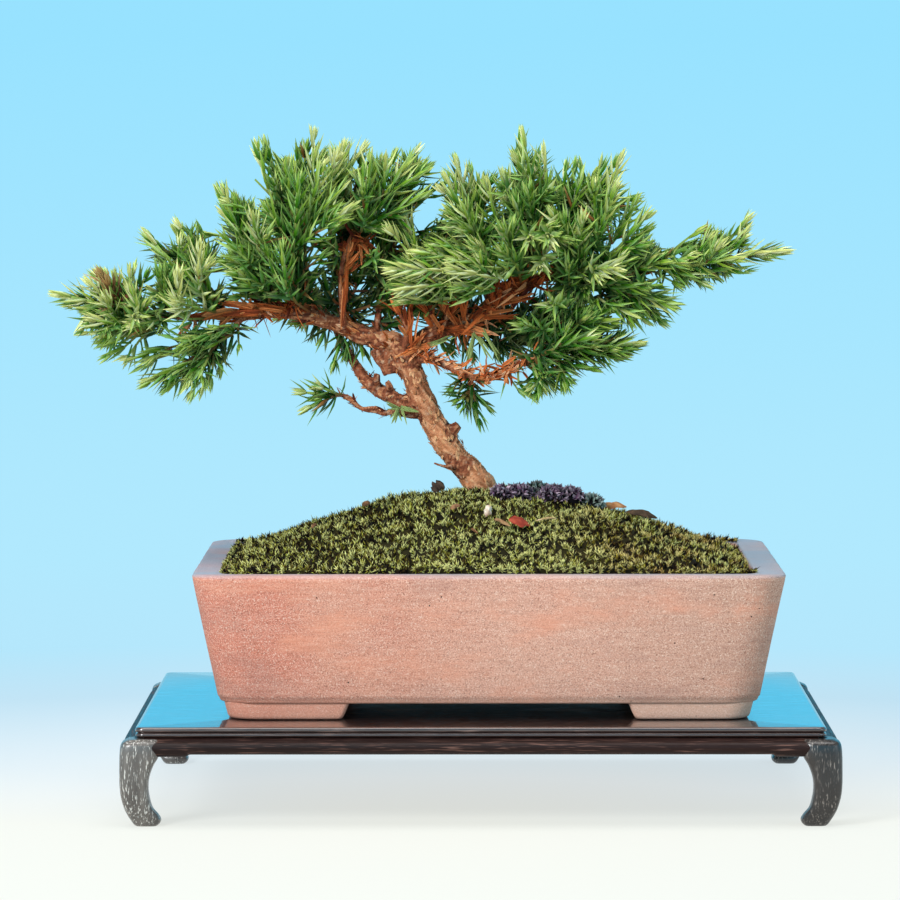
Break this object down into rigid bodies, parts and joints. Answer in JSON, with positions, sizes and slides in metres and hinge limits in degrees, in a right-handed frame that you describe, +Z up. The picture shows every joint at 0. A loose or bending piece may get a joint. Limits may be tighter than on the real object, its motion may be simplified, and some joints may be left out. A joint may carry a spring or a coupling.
{
  "type": "japanese garden juniper bonsai",
  "caption": "Small needle-leaved juniper bonsai with a leaning trunk, in a mossed rectangular clay pot on a low hardwood stand.",
  "frame": {"origin": "on the ground under the middle of the whole object's box", "axes": "+Z up, the front that the picture shows towards -Y, the trunk leaning towards -X"},
  "size_m": [0.2442, 0.1708, 0.2126],
  "materials": {
    "hardwood": "dark stain under gloss lacquer",
    "clay": "unglazed, matt, finely speckled",
    "net": "moulded",
    "soil": "coarse and crumbly",
    "moss": "soft and tufted",
    "bark": "flaky bark",
    "foliage": "waxy needles"
  },
  "bodies": {
    "root": {"stand_leg_front_left": "hardwood", "stand_leg_front_right": "hardwood", "stand_leg_back_left": "hardwood", "stand_leg_back_right": "hardwood", "stand_apron_front": "hardwood", "stand_apron_back": "hardwood", "stand_apron_right": "hardwood", "stand_apron_left": "hardwood", "stand_panel": "hardwood", "pot": "clay", "drain_net_left": "net", "drain_net_right": "net", "soil": "soil", "moss": "moss", "trunk_and_limbs": "bark", "bough_left_end": "foliage", "bough_left_low": "foliage", "bough_left_up": "foliage", "bough_left_crown": "foliage", "bough_centre_left": "foliage", "bough_centre": "foliage", "bough_centre_right": "foliage", "bough_mid_back": "foliage", "bough_right_inner": "foliage", "bough_right_left": "foliage", "bough_right_crown": "foliage", "bough_right_shoulder": "foliage", "bough_right_end": "foliage", "bough_right_low": "foliage", "bough_mid_right": "foliage", "bough_low_right_end": "foliage", "bough_hanging": "foliage", "bough_low_left_twig": "foliage"}
  },
  "joints": []
}
